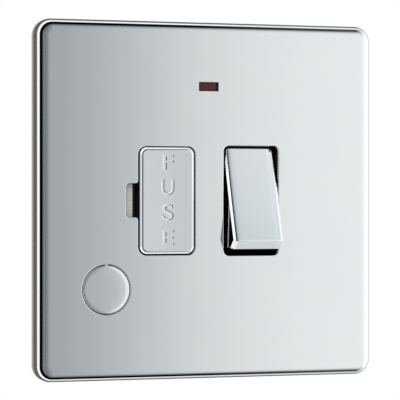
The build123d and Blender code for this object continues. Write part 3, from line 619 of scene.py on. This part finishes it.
# Bright chrome over polished metal: a cool mirror with the faintest haze from the polishing wheel
polished_chrome = surface(
    "polished_chrome", "#F1F4F6", "#ECF0F3", 12 * mm, (0.02, 0.035), Metallic=1.0
)
# Pale grey ABS moulding: satin, with the fine grain of a spark-eroded tool
pale_moulding = surface(
    "pale_abs_moulding", "#B4B7AF", "#ACAFA7", 0.5 * mm, (0.42, 0.55), 0.01 * mm
)
# Black urea moulding of the case: dense black with a low sheen
black_moulding = surface(
    "black_urea_moulding", "#1D1D1C", "#161616", 0.5 * mm, (0.35, 0.5), 0.01 * mm
)
# Black nylon of the carrier and the rocker's core: a little glossier, since they slide
carrier_moulding = surface(
    "black_nylon", "#222221", "#191919", 0.8 * mm, (0.25, 0.4), 0.006 * mm
)
# Natural acetal of the plungers and the cord grip: milky white and waxy
acetal = surface("natural_acetal", "#EEECE4", "#E4E1D6", 1.5 * mm, (0.3, 0.42), 0.004 * mm)
# Zinc-plated steel screw: bluish bright metal, faintly cloudy
zinc_steel = surface(
    "zinc_plated_steel", "#C9CED2", "#B4BABF", 0.9 * mm, (0.22, 0.36), Metallic=1.0
)
# Spring steel strip and wire: grey metal with fine drawing lines
spring_steel = surface(
    "spring_steel", "#B6B8B8", "#9FA1A2", 0.6 * mm, (0.25, 0.4), stretch=(1, 1, 8), Metallic=1.0
)
# Stamped brass strip: warm yellow with rolling lines
brass_strip = surface(
    "stamped_brass", "#D9B866", "#C6A24F", 0.7 * mm, (0.22, 0.38), stretch=(6, 1, 1), Metallic=1.0
)
# Turned brass screws: the same yellow, brighter from the lathe
turned_brass = surface(
    "turned_brass", "#E2C377", "#CFAE5C", 0.4 * mm, (0.16, 0.28), Metallic=1.0
)
# Silver alloy contact tips: soft white metal with a matt face
silver_alloy = surface("silver_alloy", "#DEDCD6", "#C9C6BE", 0.5 * mm, (0.3, 0.45), Metallic=1.0)
# Glazed ceramic tube: off-white, smooth, with tiny specks of clay
ceramic = surface("glazed_ceramic", "#F0ECE2", "#E2DCCD", 0.6 * mm, (0.14, 0.24))
# Nickel-plated brass end caps: warm white metal
nickel = surface("nickel_plate", "#D6D0C2", "#C4BDAE", 0.8 * mm, (0.14, 0.26), Metallic=1.0)
# Tinted polycarbonate lens: dark red, clear enough to look deep
red_lens = surface(
    "red_polycarbonate", "#6A3237", "#50282D", 0.8 * mm, (0.1, 0.2),
    IOR=1.58, Transmission_Weight=0.25,
)
# Lamp glass: clear with a slight warm cast
lamp_glass = surface(
    "lamp_glass", "#FFF4E6", "#FBEBD8", 2 * mm, (0.02, 0.06), IOR=1.5, Transmission_Weight=0.9
)
# Lacquered resistor: tan lacquer, a little uneven
resistor_lacquer = surface(
    "resistor_lacquer", "#D3B68C", "#BE9F74", 0.7 * mm, (0.3, 0.45), 0.01 * mm
)
# Painted floor: pale and matt, so that it only lends soft light
pale_floor = surface("pale_floor", "#F4F4F2", "#F0F0EE", 80 * mm, (0.6, 0.7))

finishes = {
    pale_moulding: ["support_frame"],
    black_moulding: ["front_housing", "rear_cover"],
    carrier_moulding: ["fuse_carrier", "rocker_core"],
    acetal: ["plungers", "cord_grip_bar"],
    zinc_steel: ["cord_grip_screw"],
    spring_steel: ["plunger_springs", "upper_fuse_clip", "lower_fuse_clip"],
    brass_strip: [
        "live_blade", "neutral_blade", "live_fixed_contact", "neutral_fixed_contact",
        "live_pivot_post", "neutral_pivot_post", "neutral_supply_terminal", "supply_earth_terminal",
        "live_supply_terminal", "live_load_terminal", "load_earth_terminal",
        "neutral_load_terminal", "earth_strap",
    ],
    turned_brass: ["terminal_screws"],
    silver_alloy: ["live_moving_tip", "neutral_moving_tip", "fixed_tips"],
    ceramic: ["fuse_barrel"],
    nickel: ["fuse_end_caps"],
    lamp_glass: ["neon_lamp"],
    resistor_lacquer: ["neon_resistor"],
}


def dress(mesh, material):
    """Give a mesh one finish in place of any it has."""
    mesh.materials.clear()
    mesh.materials.append(material)


for material, names in finishes.items():
    for name in names:
        dress(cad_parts[name].data, material)

for make, material, body, node, slot in (
    (make_front_plate, polished_chrome, "plate", "front_plate", "chrome_plate"),
    (make_knock_out, polished_chrome, "plate", "", "chrome_plate"),
    (make_rocker_cap, polished_chrome, "rocker", "rocker_cap", "chrome_plate"),
    (make_carrier_cap, polished_chrome, "carrier", "fuse_carrier_cap", "chrome_plate"),
    (make_lens, red_lens, "base", "neon_lens", "lens_red"),
):
    piece = make()
    dress(piece.data, material)
    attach(piece, body)
    if node:
        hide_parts(node)


# Studio: a bright panel ahead and to the right, a dark gap round it, then white walls

def calculate(tree, operation, *values, **settings):
    """Work out a number from others and give the output that carries it."""
    inputs = dict(enumerate(values))
    return add(tree, "Math", inputs, operation=operation, **settings).outputs[0]


def ramp(tree, source, low, high, stops):
    """Levels of light by degrees, between a lowest and a highest angle."""
    along = add(tree, "MapRange", {
        "Value": source, "From Min": math.radians(low), "From Max": math.radians(high),
    })
    made = add(tree, "ValToRGB", {"Fac": along.outputs["Result"]})
    points = made.color_ramp.elements
    while len(points) < len(stops):
        points.new(0.5)
    for point, (degrees, level) in zip(points, stops):
        point.position = (degrees - low) / (high - low)
        point.color = (*level, 1) if isinstance(level, tuple) else (level, level, level, 1)
    return made.outputs["Color"]


def make_world():
    world = bpy.data.worlds.new("studio")
    world.use_nodes = True
    scene.world = world
    tree = world.node_tree
    tree.nodes.clear()
    ray = add(tree, "LightPath", {}).outputs
    direction = add(tree, "TexCoord", {}).outputs["Generated"]
    axes = add(tree, "SeparateXYZ", {"Vector": direction}).outputs
    # How far a direction lies to the right, and how far from the panel's middle
    right = calculate(tree, "ARCSINE", axes["X"])
    panel = (
        math.sin(panel_turn) * math.cos(panel_drop),
        -math.cos(panel_turn) * math.cos(panel_drop),
        -math.sin(panel_drop),
    )
    toward = add(tree, "VectorMath", {0: direction, 1: panel}, operation="DOT_PRODUCT")
    away = calculate(tree, "ARCCOSINE", toward.outputs["Value"])
    # The gap is farther out above and below than at the side
    rise = calculate(tree, "ABSOLUTE", axes["Z"])
    inner = calculate(tree, "MULTIPLY_ADD", rise, -panel_growth, away)
    outer = calculate(tree, "MULTIPLY_ADD", rise, -wall_growth, away)

    # Panel's light from its left to its right, cooler at the left
    cool, plain = (0.962, 1.0, 1.022), (0.988, 1.0, 0.992)
    panel_levels = (
        (-16, 0.3, cool), (-9.6, 0.195, cool), (-3.8, 0.186, cool), (2.3, 0.227, cool),
        (13.4, 0.314, cool), (15.9, 0.388, cool), (16.6, 0.436, cool), (17.3, 0.49, cool),
        (18.1, 0.553, cool), (19, 0.64, plain), (20, 0.707, plain), (21, 0.757, plain),
        (22.4, 0.81, plain), (23.5, 0.825, plain), (40, 0.86, plain),
    )
    panel_light = ramp(tree, right, -40, 40, [
        (degrees, tuple(level * part / chrome_level for part in tint))
        for degrees, level, tint in panel_levels
    ])
    # How the panel dims towards its edge
    panel_edge = ramp(tree, inner, 0, 60, [
        (22, 1.0), (28, (0.95, 0.97, 0.98)), (31, (0.89, 0.92, 0.94)), (34, (0.78, 0.81, 0.83)),
        (36.5, 0.64), (39, 0.43), (42, 0.28), (45.5, 0.0),
    ])
    inside = mix(tree, 1.0, panel_light, panel_edge, "MULTIPLY")
    # Past the dark gap, white walls and then a grey far wall
    outside = ramp(tree, outer, 0, 180, [(64, 0.0), (70, 1.2), (87, 1.2), (95, 0.23)])
    # Behind the plate's plane the walls are less bright. So near that plane, Y serves as the angle
    shaded = ramp(tree, axes["Y"], -9, 9, [(-2, 1.0), (2.5, 0.56)])
    walls = mix(tree, 1.0, outside, shaded, "MULTIPLY")
    ring = mix(tree, 1.0, inside, walls, "ADD")
    # The gap is open on the right, where the light falls off towards the room behind
    bright = ramp(tree, right, 0, 90, [
        (23.5, (0.906, 0.917, 0.91)), (41, 1.0), (60, 1.15), (85, 1.15),
    ])
    behind = ramp(tree, away, 0, 180, [(77, 1.0), (83, 0.72), (105, 0.7), (125, 0.55)])
    open_side = mix(tree, 1.0, bright, behind, "MULTIPLY")
    opened = ramp(tree, right, 0, 90, [(19.5, 0.0), (23.5, 0.09), (38, 0.5), (55, 1.0)])
    studio = mix(tree, opened, ring, open_side)
    # The camera sees plain white, mirrors and clear parts see the studio, the rest an even fill
    seen = mix(tree, ray["Is Camera Ray"], studio, white)
    shown = calculate(tree, "ADD", ray["Is Camera Ray"], ray["Is Glossy Ray"])
    shown = calculate(tree, "ADD", shown, ray["Is Transmission Ray"], use_clamp=True)
    backdrop = add(tree, "Background", {"Color": seen, "Strength": 1.0})
    fill = add(tree, "Background", {"Color": white, "Strength": fill_light})
    mixed = add(tree, "MixShader", {0: shown, 1: fill.outputs[0], 2: backdrop.outputs[0]})
    add(tree, "OutputWorld", {"Surface": mixed.outputs[0]})


make_world()

# Floor, well below the plate
clear()
bpy.ops.mesh.primitive_circle_add(
    vertices=floor_sides, radius=floor_radius, fill_type="NGON", location=(0, 0, floor_z)
)
floor = bpy.context.object
floor.name = "floor"
dress(floor.data, pale_floor)
floor.visible_glossy = False

# Soft lamps: a large one from the upper left and a weaker one from the right
for name, place, size, power in (
    ("upper_left_lamp", (-0.5, -0.7, 0.7), 0.6, 6.0),
    ("right_lamp", (0.8, -0.6, 0.2), 0.6, 3.0),
):
    bpy.ops.object.light_add(type="AREA", location=place)
    lamp = bpy.context.object
    lamp.name = name
    lamp.data.size = size
    lamp.data.energy = power
    lamp.visible_glossy = False
    lamp.rotation_mode = "QUATERNION"
    lamp.rotation_quaternion = lamp.location.normalized().to_track_quat("Z", "Y")

# Camera at the photograph's angle
bpy.ops.object.camera_add()
camera = bpy.context.object
camera.location = (
    camera_distance * math.sin(camera_azimuth) - aim_left * math.cos(camera_azimuth),
    -camera_distance * math.cos(camera_azimuth) - aim_left * math.sin(camera_azimuth),
    aim_up,
)
camera.rotation_euler = (math.pi / 2, 0, camera_azimuth)
camera.data.lens = camera_lens
camera.data.sensor_width = camera_sensor
camera.data.clip_start = camera_clip
scene.camera = camera
